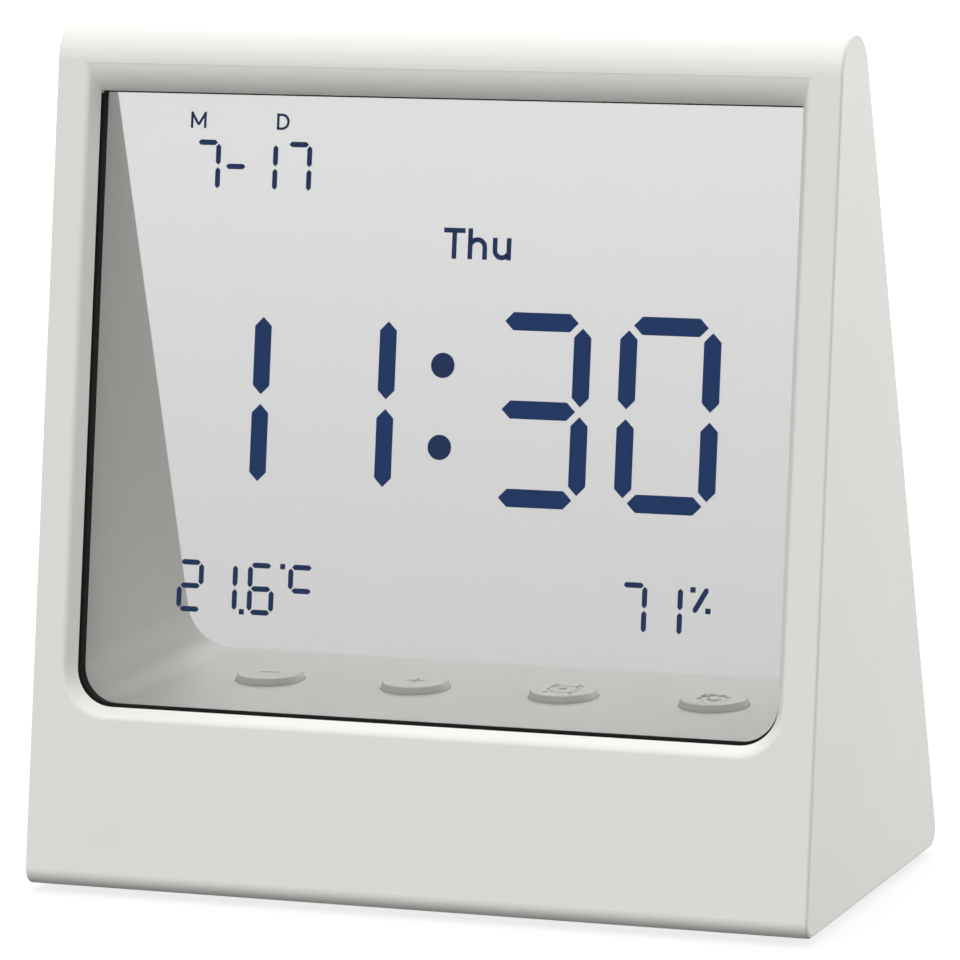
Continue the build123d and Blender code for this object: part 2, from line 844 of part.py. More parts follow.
def board_screws():
    """Screws that hold the board under the deck."""
    seat = board_bottom - layer_gap
    return group(Pos(x, *at(back, seat)) * screw(board_screw_length) for x, back in board_posts)


sheet = {
    "front_polariser": leaf(display_half, display_foot + ledge, display_top, polariser_front,
                            polariser_front + polariser_thick),
    "front_glass": leaf(display_half, display_foot + ledge, display_top, glass_front,
                        glass_front + glass_thick),
    "rear_glass": leaf(display_half, display_foot, display_top, glass_rear, glass_rear + glass_thick),
    "rear_polariser": leaf(display_half, display_foot + ledge, display_top, polariser_rear,
                           polariser_rear + polariser_thick),
}

nodes = {
    "front_frame": front_frame(),
    "side_panel_left": side_panel(-1),
    "side_panel_right": side_panel(1),
    "rear_housing": rear_housing(),
    "base_plate": base_plate(),
    "battery_door": battery_door(),
    "display_gasket": gasket(),
    "front_polariser": sheet["front_polariser"],
    "front_glass": sheet["front_glass"],
    "rear_glass": sheet["rear_glass"],
    "rear_polariser": sheet["rear_polariser"],
    "display_ribbon": display_ribbon(),
    "key_minus": key(key_places[0]),
    "key_plus": key(key_places[1]),
    "key_alarm": key(key_places[2]),
    "key_settings": key(key_places[3]),
    "main_board": main_board(),
    "push_switches": switches(),
    "chip_cover": chip_cover(),
    "quartz_crystal": quartz_crystal(),
    "buzzer": buzzer(),
    "climate_sensor": climate_sensor(),
    "sensor_ribbon": sensor_ribbon(),
    "cell_front": cell(1, bay_back - cell_pitch / 2),
    "cell_rear": cell(-1, bay_back + cell_pitch / 2),
    "contact_plates": contact_plates(),
    "contact_springs": contact_springs(),
    "feet": feet(),
    "case_screws": case_screws(),
    "frame_screws": frame_screws(),
    "board_screws": board_screws(),
}

os.makedirs("parts", exist_ok=True)
for name, shape in nodes.items():
    export_step(shape, f"parts/{name}.step")
    box = shape.bounding_box()
    print(name, "volume", round(shape.volume, 1), "size", [round(value, 2) for value in box.size])
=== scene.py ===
# %% [markdown]
# A see-through table clock. The solids come from the CAD model: a hollow wedge case, a clear display in its leaning
# front and four round keys on the deck behind it. This file dresses them. It adds what a CAD model leaves out: the
# dark figures in the display, the signs on the keys and a material for every piece.

# %% Load the frame
import math

import bmesh
import bpy
from mathutils import Matrix, Vector


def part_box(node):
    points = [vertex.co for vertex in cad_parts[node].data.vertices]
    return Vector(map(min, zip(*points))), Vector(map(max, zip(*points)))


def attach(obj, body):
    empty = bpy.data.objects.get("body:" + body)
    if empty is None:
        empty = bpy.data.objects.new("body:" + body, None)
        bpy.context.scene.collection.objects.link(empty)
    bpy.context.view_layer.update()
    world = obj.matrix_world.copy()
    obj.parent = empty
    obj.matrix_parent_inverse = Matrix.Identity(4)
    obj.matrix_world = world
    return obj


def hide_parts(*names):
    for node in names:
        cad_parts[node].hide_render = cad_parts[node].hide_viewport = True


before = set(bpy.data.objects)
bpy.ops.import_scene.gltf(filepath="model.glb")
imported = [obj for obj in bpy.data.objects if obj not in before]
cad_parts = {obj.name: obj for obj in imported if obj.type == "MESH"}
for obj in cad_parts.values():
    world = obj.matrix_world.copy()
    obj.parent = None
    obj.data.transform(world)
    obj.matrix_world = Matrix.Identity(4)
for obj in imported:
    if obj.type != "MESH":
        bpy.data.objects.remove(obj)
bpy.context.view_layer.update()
mm = 0.001
print("solids loaded:", len(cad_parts))

# %% [markdown]
# The camera comes first, because everything after it is judged through it. The photo was taken with a long lens from
# the right of the clock and a little above it, and the camera leans by a degree and a half. A turn about the upright,
# a tilt downwards and a roll about the line of sight say that in three angles.

# %% Camera
camera_turn = 21.666
camera_drop = 10.414
camera_roll = -1.463
camera_place = Vector((319.53, -801.96, 214.56)) * mm

camera = bpy.data.objects.new("camera", bpy.data.cameras.new("camera"))
camera.data.sensor_width = 36
camera.data.lens = 236.75
camera.data.clip_start = 10 * mm
turn = Matrix.Rotation(math.radians(camera_turn), 4, "Z")
tilt = Matrix.Rotation(math.radians(90 - camera_drop), 4, "X")
roll = Matrix.Rotation(math.radians(camera_roll), 4, "Z")
camera.matrix_world = Matrix.Translation(camera_place) @ turn @ tilt @ roll
bpy.context.scene.collection.objects.link(camera)
bpy.context.scene.camera = camera
print("camera distance in mm:", round(camera_place.length / mm))

# %% [markdown]
# Colours are written as they read on screen, in hex, and one function turns them into the linear light that the
# shaders work with. A second small function adds any node, sets its values and links it, so each material below
# reads as a short list.

# %% Colour and nodes
def linear(code):
    """A screen colour such as #d8d7d2 as linear red, green, blue and full alpha."""
    screen = [int(code[i:i + 2], 16) / 255 for i in (1, 3, 5)]
    return [c / 12.92 if c <= 0.04045 else ((c + 0.055) / 1.055) ** 2.4 for c in screen] + [1.0]


def node(tree, kind, inputs, **settings):
    """Adds a node: settings are its options, inputs are values or the sockets that feed it."""
    made = tree.nodes.new(kind)
    for name, value in settings.items():
        setattr(made, name, value)
    for socket, value in inputs.items():
        if isinstance(value, bpy.types.NodeSocket):
            tree.links.new(value, made.inputs[socket])
        else:
            made.inputs[socket].default_value = value
    return made


def new_material(name):
    """An empty material and its node tree."""
    material = bpy.data.materials.new(name)
    material.use_nodes = True
    material.node_tree.nodes.clear()
    return material, material.node_tree


def per_mm(size):
    """Texture scale that gives a feature of that size in millimetres."""
    return 1 / (size * mm)


# %% [markdown]
# The floor is a sheet of opal acrylic that is lit from below and runs far behind the clock. Product photographers use
# such a table because it swallows the shadow. It gives no light to the clock here, so the undersides stay dark. The
# light is a bright room: strongest from above and in front, and falling off to nothing behind and below. A lamp could
# give the same brightness but not the slow fall of light over the ridge, so the room itself is the main light: its
# strength follows the direction.

# %% Floor
floor_half = 3.0
floor_mesh = bpy.data.meshes.new("floor")
floor_bm = bmesh.new()
bmesh.ops.create_grid(floor_bm, x_segments=1, y_segments=1, size=floor_half)
floor_bm.to_mesh(floor_mesh)
floor_bm.free()
floor = bpy.data.objects.new("floor", floor_mesh)
floor.visible_diffuse = False
bpy.context.scene.collection.objects.link(floor)

floor_glow = 0.8
floor_white, tree = new_material("opal acrylic lit from below")
shader = node(tree, "ShaderNodeBsdfPrincipled", {"Base Color": linear("#7c7c7c"), "Roughness": 0.9,
                                                 "Specular IOR Level": 0.1, "Emission Color": linear("#ffffff"),
                                                 "Emission Strength": floor_glow})
node(tree, "ShaderNodeOutputMaterial", {"Surface": shader.outputs["BSDF"]})
floor_mesh.materials.append(floor_white)
print("floor of", 2 * floor_half, "m, glow", floor_glow)

# %% Light of the room
room_from = Vector((-0.11, -0.557, 0.822))
room_dark, room_bright = 0.245, 1.94

world = bpy.data.worlds.new("bright room")
bpy.context.scene.world = world
world.use_nodes = True
tree = world.node_tree
tree.nodes.clear()
sight = node(tree, "ShaderNodeTexCoord", {})
side = node(tree, "ShaderNodeVectorMath", {0: sight.outputs["Generated"], 1: room_from}, operation="DOT_PRODUCT")
glow = node(tree, "ShaderNodeMapRange", {"Value": side.outputs["Value"], "From Min": room_dark, "From Max": 1.0,
                                         "To Min": 0.0, "To Max": room_bright})
room = node(tree, "ShaderNodeBackground", {"Color": linear("#ffffff"), "Strength": glow.outputs["Result"]})
node(tree, "ShaderNodeOutputWorld", {"Surface": room.outputs["Background"]})

bpy.context.scene.view_settings.view_transform = "Standard"
print("light of the room comes from", [round(v, 2) for v in room_from])

# %% [markdown]
# Soft panels help the room. One stands behind on the right and lights the side of the case. Little of it may shine
# into the open back, where a photographer would hold a grey card in its way. Here the panel comes twice: a strong one
# that is told to reach the outside only, and a dim one for all. Another panel hangs high up behind on the left and
# reaches the deck with its keys.

# %% Panels
panel_size = 0.8
clock_middle = Vector((0, 0, 0.06))


def soft_panel(name, watts, place):
    """A square soft panel that faces the clock."""
    panel = bpy.data.objects.new(name, bpy.data.lights.new(name, "AREA"))
    panel.data.size = panel_size
    panel.data.energy = watts
    panel.location = place
    panel.rotation_euler = (clock_middle - panel.location).to_track_quat("-Z", "Y").to_euler()
    bpy.context.scene.collection.objects.link(panel)
    return panel


back_right, back_left = (0.75, 0.9, 0.3), (-0.3, 0.9, 0.75)
side_panel = soft_panel("panel right", 8, back_right)
outside = bpy.data.collections.new("outside of the case")
for name in ("front_frame", "side_panel_left", "side_panel_right", "base_plate", "battery_door"):
    outside.objects.link(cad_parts[name])
side_panel.light_linking.receiver_collection = outside
soft_panel("panel right dimmed", 6.5, back_right)
soft_panel("panel left", 9, back_left)

# %% [markdown]
# The case is ABS, injection moulded in a tool with a fine spark-eroded finish. The eye sees a warm white that is
# satin, not glossy, and very slightly uneven, and close up a fine grit. The grit of such a tool is about 0.1 mm; it
# is drawn at 0.3 mm here so that it shows at all. It is made with a bump, because nothing of it changes the outline.

# %% Satin ABS of the case
abs_pale, abs_deep = "#f0eee9", "#ebe9e4"
cloud_size = 16
grit_size = 0.3

case_abs, tree = new_material("ABS moulded satin")
place = node(tree, "ShaderNodeTexCoord", {})
cloud = node(tree, "ShaderNodeTexNoise", {"Vector": place.outputs["Object"], "Scale": per_mm(cloud_size),
                                          "Detail": 3.0})
tone = node(tree, "ShaderNodeMix", {0: cloud.outputs["Fac"], 6: linear(abs_deep), 7: linear(abs_pale)},
            data_type="RGBA")
grit = node(tree, "ShaderNodeTexNoise", {"Vector": place.outputs["Object"], "Scale": per_mm(grit_size),
                                         "Detail": 2.0})
sheen = node(tree, "ShaderNodeMapRange", {"Value": grit.outputs["Fac"], "To Min": 0.44, "To Max": 0.6})
relief = node(tree, "ShaderNodeBump", {"Height": grit.outputs["Fac"], "Strength": 0.25, "Distance": 0.02 * mm})
shader = node(tree, "ShaderNodeBsdfPrincipled", {"Base Color": tone.outputs[2], "Roughness": sheen.outputs["Result"],
                                                 "Normal": relief.outputs["Normal"], "IOR": 1.53})
node(tree, "ShaderNodeOutputMaterial", {"Surface": shader.outputs["BSDF"]})


def dress(material, *names):
    """Gives CAD nodes a material in place of the plain one they came with."""
    for name in names:
        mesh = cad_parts[name].data
        mesh.materials.clear()
        mesh.materials.append(material)


dress(case_abs, "front_frame", "side_panel_left", "side_panel_right", "rear_housing", "base_plate", "battery_door")
print("case material on 6 pieces")

# %% [markdown]
# The gasket round the display is closed-cell foam. It is black and dull, with pores of a few tenths of a millimetre
# that have a bump for their relief and painted shade: each pore is darker in its middle and lighter at its rim.

# %% Black foam of the gasket
foam, tree = new_material("EVA foam closed cell")
place = node(tree, "ShaderNodeTexCoord", {})
pores = node(tree, "ShaderNodeTexVoronoi", {"Vector": place.outputs["Object"], "Scale": per_mm(0.35)})
# Painted shade: darker in the middle of each pore, lighter towards its rim.
tone = node(tree, "ShaderNodeMix", {0: pores.outputs["Distance"], 6: linear("#101010"), 7: linear("#1c1c1c")},
            data_type="RGBA")
relief = node(tree, "ShaderNodeBump", {"Height": pores.outputs["Distance"], "Strength": 0.5, "Distance": 0.05 * mm})
shader = node(tree, "ShaderNodeBsdfPrincipled", {"Base Color": tone.outputs[2], "Roughness": 0.9,
                                                 "Specular IOR Level": 0.2, "Normal": relief.outputs["Normal"]})
node(tree, "ShaderNodeOutputMaterial", {"Surface": shader.outputs["BSDF"]})
dress(foam, "display_gasket")
print("gasket dressed")

# %% [markdown]
# A liquid crystal cell is two leaves of glass with a film of crystal between them, and each leaf has its polariser
# glued on. To the eye a leaf and its film are one grey sheet, and together the two sheets take nearly half of the
# light. They could be refracting glass, but light would then hardly reach the deck behind them. A thin dark film
# that covers a small share of each face dims what is behind it and lets the lamps through. The sheets dim a little
# more towards their foot. This is painted shade for the soft shadow of the clock on the floor behind them.

# %% Display sheets
clear_top, clear_foot = 0.876, 0.853
display_low, display_high = 30 * mm, 105 * mm

laminate, tree = new_material("float glass with polariser")
place = node(tree, "ShaderNodeTexCoord", {})
dust = node(tree, "ShaderNodeTexNoise", {"Vector": place.outputs["Object"], "Scale": per_mm(30), "Detail": 4.0})
polish = node(tree, "ShaderNodeMapRange", {"Value": dust.outputs["Fac"], "To Min": 0.03, "To Max": 0.09})
axes = node(tree, "ShaderNodeSeparateXYZ", {"Vector": place.outputs["Object"]})
# Painted shade: the share of dark film grows towards the foot, for the clock's shadow on the floor behind.
grey = node(tree, "ShaderNodeMapRange", {"Value": axes.outputs["Z"], "From Min": display_low,
                                         "From Max": display_high, "To Min": 1 - clear_foot,
                                         "To Max": 1 - clear_top})
shader = node(tree, "ShaderNodeBsdfPrincipled", {"Base Color": linear("#1b1e20"), "IOR": 1.5,
                                                 "Roughness": polish.outputs["Result"],
                                                 "Alpha": grey.outputs["Result"]})
node(tree, "ShaderNodeOutputMaterial", {"Surface": shader.outputs["BSDF"]})

front_lean = math.radians(10.5)
slope_up = Vector((0, math.sin(front_lean), math.cos(front_lean)))
face_out = Vector((0, -math.cos(front_lean), math.sin(front_lean)))


def sheet_frame(node_name, thickness):
    """Centre, half width and half length of a leaning sheet, read from its box."""
    low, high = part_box(node_name)
    length = (high.z - low.z - thickness * math.sin(front_lean)) / math.cos(front_lean)
    return (low + high) / 2, (high.x - low.x) / 2, length / 2


def finish_piece(bm, name, material, body):
    """Makes the bmesh an object with its place in its mesh, and lets it ride on a body."""
    bmesh.ops.recalc_face_normals(bm, faces=bm.faces)
    mesh = bpy.data.meshes.new(name)
    bm.to_mesh(mesh)
    bm.free()
    mesh.materials.append(material)
    piece = bpy.data.objects.new(name, mesh)
    bpy.context.scene.collection.objects.link(piece)
    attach(piece, body)
    return piece


glass_thick, film_thick, film_gap = 1.08 * mm, 0.18 * mm, 0.02 * mm
leaf_thick = glass_thick + film_gap + film_thick
ground_edge = 0.15 * mm
lean_turn = Matrix(((1, 0, 0), slope_up, face_out)).transposed().to_4x4()


def display_leaf(name, glass, film):
    """One glass leaf with its polariser as a single sheet with ground edges, in place of the two solids."""
    glass_centre, half_width, half_length = sheet_frame(glass, glass_thick)
    film_centre = sheet_frame(film, film_thick)[0]
    outward = math.copysign(1, (film_centre - glass_centre).dot(face_out))
    bm = bmesh.new()
    bmesh.ops.create_cube(bm, size=1)
    bmesh.ops.scale(bm, vec=(2 * half_width, 2 * half_length, leaf_thick), verts=bm.verts)
    bmesh.ops.bevel(bm, geom=bm.edges, offset=ground_edge, affect="EDGES", segments=1, profile=0.5, material=-1)
    centre = glass_centre + face_out * outward * (film_gap + film_thick) / 2
    bmesh.ops.transform(bm, matrix=Matrix.Translation(centre) @ lean_turn, verts=bm.verts)
    leaf = finish_piece(bm, name, laminate, "case")
    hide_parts(glass, film)
    return leaf


front_leaf = display_leaf("display_leaf_front", "front_glass", "front_polariser")
rear_leaf = display_leaf("display_leaf_rear", "rear_glass", "rear_polariser")
print("light through the display, top and foot:", round(clear_top ** 4, 2), round(clear_foot ** 4, 2))

# %% [markdown]
# The figures are where the crystal turns dark: flat bars with pointed ends, in the thin gap between the leaves. A
# picture on the glass would be quicker, but real bars stay sharp at any distance and sit at the right depth. Each
# bar starts as a six-sided disc, whose corners are pulled out to the length and width of the bar. Places are measured
# from the middle of the display and up its slope from the lower edge of the front.

# %% Places on the display
display_foot = 18.5
crystal_thick = 0.02 * mm
rear_low, rear_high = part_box("rear_glass")
crystal_start = Vector((0, rear_low.y, rear_low.z + glass_thick * math.sin(front_lean)))
crystal_start += face_out * 0.02 * mm - slope_up * display_foot * mm
on_display = Matrix.Translation(crystal_start) @ lean_turn


def bar(bm, x, height, length, width, upright=False):
    """One bar with pointed ends, centred at x and height on the display."""
    made = bmesh.ops.create_circle(bm, cap_ends=True, segments=6, radius=1)["verts"]
    for corner in made:
        tip = abs(corner.co.y) > 0.9
        along = math.copysign(length / 2 if tip else (length - width) / 2, corner.co.y)
        across = 0 if tip else math.copysign(width / 2, corner.co.x)
        corner.co = (along, across, 0)
    if upright:
        bmesh.ops.rotate(bm, matrix=Matrix.Rotation(math.pi / 2, 3, "Z"), verts=made)
    bmesh.ops.translate(bm, vec=(x, height, 0), verts=made)
    return made


print("heights are counted from", display_foot, "mm below the foot of the glass")

# %% [markdown]
# A seven-bar figure has three level bars and four upright ones. Which of them are dark makes the figure. Every
# figure on this display is one of two sizes, so a size is a small table of measures, and a figure is a place, a size
# and its dark bars.

# %% Seven-bar figures
large = {"half_width": 6.03, "half_height": 12.06, "length": 10.74, "width": 2.5}
small = {"half_width": 1.63, "half_height": 3.26, "length": 2.95, "width": 0.75}
dark_bars = {
    "0": "top left_up right_up left_low right_low bottom",
    "1": "right_up right_low",
    "2": "top right_up middle left_low bottom",
    "3": "top right_up middle right_low bottom",
    "6": "top left_up middle left_low right_low bottom",
    "7": "top right_up right_low",
    "C": "top left_up middle",
    "-": "middle",
}


def figure(bm, sign, x, middle, size):
    """Draws a figure with its middle bar centred at x and middle."""
    wide, tall = size["half_width"], size["half_height"]
    spots = {
        "top": (x, middle + tall, False),
        "middle": (x, middle, False),
        "bottom": (x, middle - tall, False),
        "left_up": (x - wide, middle + tall / 2, True),
        "right_up": (x + wide, middle + tall / 2, True),
        "left_low": (x - wide, middle - tall / 2, True),
        "right_low": (x + wide, middle - tall / 2, True),
    }
    for name in dark_bars[sign].split():
        spot_x, spot_height, upright = spots[name]
        bar(bm, spot_x, spot_height, size["length"], size["width"], upright)


# %% [markdown]
# Dots and letters complete the display. Round dots are discs, the straight strokes of letters are narrow grids, and
# their bows are spun from a short edge, which is how a compass would draw them.

# %% Dots and strokes
def round_dot(bm, x, height, radius):
    """A round dot."""
    made = bmesh.ops.create_circle(bm, cap_ends=True, segments=48, radius=radius)["verts"]
    bmesh.ops.translate(bm, vec=(x, height, 0), verts=made)


def stroke(bm, start, end, width):
    """A straight stroke between two points, as wide as the pen."""
    run = Vector(end) - Vector(start)
    middle = (Vector(end) + Vector(start)) / 2
    made = bmesh.ops.create_grid(bm, x_segments=1, y_segments=1, size=0.5)["verts"]
    bmesh.ops.scale(bm, vec=(run.length, width, 1), verts=made)
    bmesh.ops.rotate(bm, matrix=Matrix.Rotation(math.atan2(run.y, run.x), 3, "Z"), verts=made)
    bmesh.ops.translate(bm, vec=(middle.x, middle.y, 0), verts=made)


def bow(bm, centre, radius, width, start, sweep):
    """A bow round centre, from the angle start over the angle sweep, in degrees."""
    pen = [bm.verts.new((radius + side * width / 2, 0, 0)) for side in (-1, 1)]
    edge = bm.edges.new(pen)
    bmesh.ops.rotate(bm, matrix=Matrix.Rotation(math.radians(start), 3, "Z"), verts=pen)
    bmesh.ops.translate(bm, vec=(centre[0], centre[1], 0), verts=pen)
    bmesh.ops.spin(bm, geom=[edge] + pen, cent=(centre[0], centre[1], 0), axis=(0, 0, 1),
                   angle=math.radians(sweep), steps=max(6, round(abs(sweep) / 7.5)), use_merge=abs(sweep) == 360)


# %% [markdown]
# The dark crystal looks like navy ink, dull and even. A grain far finer than the bars keeps it from looking painted.

# %% Dark crystal
crystal, tree = new_material("liquid crystal dark")
place = node(tree, "ShaderNodeTexCoord", {})
grain = node(tree, "ShaderNodeTexNoise", {"Vector": place.outputs["Object"], "Scale": per_mm(0.4), "Detail": 1.0})
tone = node(tree, "ShaderNodeMix", {0: grain.outputs["Fac"], 6: linear("#1a3a70"), 7: linear("#1e4078")},
            data_type="RGBA")
shader = node(tree, "ShaderNodeBsdfPrincipled", {"Base Color": tone.outputs[2], "Roughness": 0.6,
                                                 "Specular IOR Level": 0.1})
node(tree, "ShaderNodeOutputMaterial", {"Surface": shader.outputs["BSDF"]})


def readout(name, draw):
    """Draws a group of figures flat, gives them their thickness and lays them between the leaves."""
    bm = bmesh.new()
    draw(bm)
    bmesh.ops.scale(bm, vec=(mm, mm, mm), verts=bm.verts)
    bmesh.ops.recalc_face_normals(bm, faces=bm.faces)
    bmesh.ops.solidify(bm, geom=bm.faces, thickness=crystal_thick)
    middle = sum((v.co.z for v in bm.verts), 0) / len(bm.verts)
    bmesh.ops.translate(bm, vec=(0, 0, -middle), verts=bm.verts)
    bmesh.ops.transform(bm, matrix=on_display, verts=bm.verts)
    return finish_piece(bm, name, crystal, "case")


# %% [markdown]
# The readouts, from the largest to the smallest: the time with its colon, the date, the weekday, the temperature and
# the humidity. The places are millimetres across the display and up its slope.

# %% Time
time_middle = 69.33
time_places = {-33.05: "1", -14.33: "1", 14.19: "3", 32.92: "0"}
colon_places = ((-0.07, 74.98), (-0.08, 63.73))
colon_radius = 1.74


def draw_time(bm):
    for x, sign in time_places.items():
        figure(bm, sign, x, time_middle, large)
    for x, height in colon_places:
        round_dot(bm, x, height, colon_radius)


readout("time_readout", draw_time)

# %% Date
date_middle = 101.45
date_places = {-36.53: "7", -32.22: "-", -27.89: "1", -22.78: "7"}
mark_pen = 0.36
mark_low, mark_high = 106.67, 108.94


def draw_date(bm):
    for x, sign in date_places.items():
        figure(bm, sign, x, date_middle, small)


def draw_date_marks(bm):
    left, right = -39.09, -37.1
    stroke(bm, (left, mark_low), (left, mark_high), mark_pen)
    stroke(bm, (right, mark_low), (right, mark_high), mark_pen)
    valley = ((left + right) / 2, mark_low + 0.46)
    stroke(bm, (left, mark_high - mark_pen / 2), valley, mark_pen)
    stroke(bm, (right, mark_high - mark_pen / 2), valley, mark_pen)
    stem, bend = -26.08, -25.49
    half = (mark_high - mark_low - mark_pen) / 2
    centre = (mark_high + mark_low) / 2
    stroke(bm, (stem, mark_low), (stem, mark_high), mark_pen)
    stroke(bm, (stem, centre + half), (bend, centre + half), mark_pen)
    stroke(bm, (stem, centre - half), (bend, centre - half), mark_pen)
    bow(bm, (bend, centre), half, mark_pen, -90, 180)


readout("date_readout", draw_date)
readout("date_marks", draw_date_marks)

# %% Weekday
day_pen = 0.69
day_line, day_cap, day_low = 89.63, 93.88, 92.69
cross_left, cross_right = -0.69, 2.46


def draw_weekday(bm):
    cross_middle = 0.89
    stroke(bm, (cross_left, day_cap - day_pen / 2), (cross_right, day_cap - day_pen / 2), day_pen)
    stroke(bm, (cross_middle, day_line), (cross_middle, day_cap - day_pen), day_pen)
    stem, arch = 3.23, 1.08
    arch_height = day_low - day_pen / 2 - arch
    stroke(bm, (stem, day_line), (stem, day_cap), day_pen)
    bow(bm, (stem + arch, arch_height), arch, day_pen, 0, 150)
    stroke(bm, (stem + 2 * arch, day_line), (stem + 2 * arch, arch_height), day_pen)
    left, cup = 6.88, 1.02
    cup_height = day_line + day_pen / 2 + cup
    stroke(bm, (left, cup_height), (left, day_low), day_pen)
    bow(bm, (left + cup, cup_height), cup, day_pen, 180, 150)
    stroke(bm, (left + 2 * cup, day_line), (left + 2 * cup, day_low), day_pen)


readout("weekday_readout", draw_weekday)

# %% Temperature and humidity
low_middle = 43.01
square_dot = 0.76
slash_pen = 0.75


def draw_temperature(bm):
    for x, sign in {-36.5: "2", -31.36: "1", -25.83: "6", -19.74: "C"}.items():
        figure(bm, sign, x, low_middle, small)
    for x, height in ((-28.6, 39.73), (-22.65, 46.28)):
        stroke(bm, (x - square_dot / 2, height), (x + square_dot / 2, height), square_dot)


def draw_humidity(bm):
    for x, sign in {29.07: "7", 34.19: "1"}.items():
        figure(bm, sign, x, low_middle, small)
    for x, height in ((37.58, 46.03), (39.84, 43.24)):
        stroke(bm, (x - square_dot / 2, height), (x + square_dot / 2, height), square_dot)
    slash_low, slash_high = Vector((37.77, 42.91)), Vector((39.72, 46.37))
    run = slash_high - slash_low
    slash = bar(bm, 0, 0, run.length, slash_pen)
    bmesh.ops.rotate(bm, matrix=Matrix.Rotation(math.atan2(run.y, run.x), 3, "Z"), verts=slash)
    middle = (slash_low + slash_high) / 2
    bmesh.ops.translate(bm, vec=(middle.x, middle.y, 0), verts=slash)


readout("temperature_readout", draw_temperature)
readout("humidity_readout", draw_humidity)

# %% [markdown]
# The keys are ABS too, but from a smoother tool, so a finger meets a silky top. The grit is finer and flatter than
# on the case.

# %% Silky ABS of the keys
key_abs, tree = new_material("ABS moulded silky")
place = node(tree, "ShaderNodeTexCoord", {})
cloud = node(tree, "ShaderNodeTexNoise", {"Vector": place.outputs["Object"], "Scale": per_mm(5), "Detail": 2.0})
tone = node(tree, "ShaderNodeMix", {0: cloud.outputs["Fac"], 6: linear("#ecebe6"), 7: linear("#efeee9")},
            data_type="RGBA")
grit = node(tree, "ShaderNodeTexNoise", {"Vector": place.outputs["Object"], "Scale": per_mm(0.25), "Detail": 1.0})
sheen = node(tree, "ShaderNodeMapRange", {"Value": grit.outputs["Fac"], "To Min": 0.38, "To Max": 0.48})
relief = node(tree, "ShaderNodeBump", {"Height": grit.outputs["Fac"], "Strength": 0.12, "Distance": 0.02 * mm})
shader = node(tree, "ShaderNodeBsdfPrincipled", {"Base Color": tone.outputs[2], "Roughness": sheen.outputs["Result"],
                                                 "Normal": relief.outputs["Normal"], "IOR": 1.53})
node(tree, "ShaderNodeOutputMaterial", {"Surface": shader.outputs["BSDF"]})

# %% [markdown]
# Each key carries a sign that is sunk into its top: a minus, a plus, an alarm clock and a toothed wheel. On the real
# key the mould has the sign as a raised island. Printed lines would be simpler, but only a real recess shows its dark
# far wall and hides the near one. The sign is drawn flat with the strokes and bows from above, made a block, and a
# Boolean cuts it out of a merged copy of the CAD key. Weighted normals keep the top flat to the eye round the cut.

# %% Sinking a sign into a key
sign_depth = 0.22 * mm
sign_pen = 0.5
smooth_angle = math.radians(35)


def bake_modifiers(piece):
    """Makes what the modifiers of a piece show its own mesh."""
    shown = bpy.data.meshes.new_from_object(piece.evaluated_get(bpy.context.evaluated_depsgraph_get()))
    piece.modifiers.clear()
    piece.data = shown
    return shown


def engraved_key(name, node_name, body, draw):
    """A key with a sign sunk into its top, in place of the plain CAD key."""
    low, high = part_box(node_name)
    block = bmesh.new()
    draw(block)
    bmesh.ops.scale(block, vec=(mm, mm, mm), verts=block.verts)
    bmesh.ops.recalc_face_normals(block, faces=block.faces)
    bmesh.ops.solidify(block, geom=block.faces, thickness=2 * sign_depth)
    middle = sum((v.co.z for v in block.verts), 0) / len(block.verts)
    bmesh.ops.translate(block, vec=((low.x + high.x) / 2, (low.y + high.y) / 2, high.z - middle), verts=block.verts)
    bmesh.ops.recalc_face_normals(block, faces=block.faces)
    cutter = bpy.data.objects.new("cutter", bpy.data.meshes.new("cutter"))
    block.to_mesh(cutter.data)
    block.free()
    bpy.context.scene.collection.objects.link(cutter)

    cap = bmesh.new()
    cap.from_mesh(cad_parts[node_name].data)
    bmesh.ops.remove_doubles(cap, verts=cap.verts, dist=0.001 * mm)
    piece = finish_piece(cap, name, key_abs, body)
    cut = piece.modifiers.new("sign", "BOOLEAN")
    cut.operation, cut.solver, cut.use_self, cut.object = "DIFFERENCE", "EXACT", True, cutter
    carved = bake_modifiers(piece)
    bpy.data.objects.remove(cutter)
    carved.shade_smooth()
    carved.set_sharp_from_angle(angle=smooth_angle)
    flat_top = piece.modifiers.new("flat top", "WEIGHTED_NORMAL")
    flat_top.keep_sharp, flat_top.weight = True, 100
    carved = bake_modifiers(piece)
    carved.materials.clear()
    carved.materials.append(key_abs)
    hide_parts(node_name)
    return piece


# %% Signs
sign_arm = 1.45
ring_radius, ring_pen = 2.15, 0.42


def draw_minus(bm):
    stroke(bm, (-sign_arm, 0), (sign_arm, 0), sign_pen)


def draw_plus(bm):
    draw_minus(bm)
    stroke(bm, (0, -sign_arm), (0, sign_arm), sign_pen)


def draw_alarm(bm):
    bow(bm, (0, 0), ring_radius, ring_pen, 0, 360)
    stroke(bm, (0.1, -0.45), (0.1, 0.95), sign_pen)
    stroke(bm, (0.1, -0.3), (-0.85, 0.55), sign_pen)
    for side in (-1, 1):
        stroke(bm, (side * 1.35, 2.75), (side * 2.5, 1.8), sign_pen)
        stroke(bm, (side * 1.6, -2.0), (side * 2.1, -2.65), sign_pen)


def draw_wheel(bm):
    hub_radius, hub_pen = 1.4, 0.95
    teeth, tooth_root, tooth_tip, tooth_width = 8, 1.6, 2.45, 0.8
    bow(bm, (0, 0), hub_radius, hub_pen, 0, 360)
    for number in range(teeth):
        angle = 2 * math.pi * (number + 0.5) / teeth
        out = Vector((math.cos(angle), math.sin(angle)))
        stroke(bm, out * tooth_root, out * tooth_tip, tooth_width)


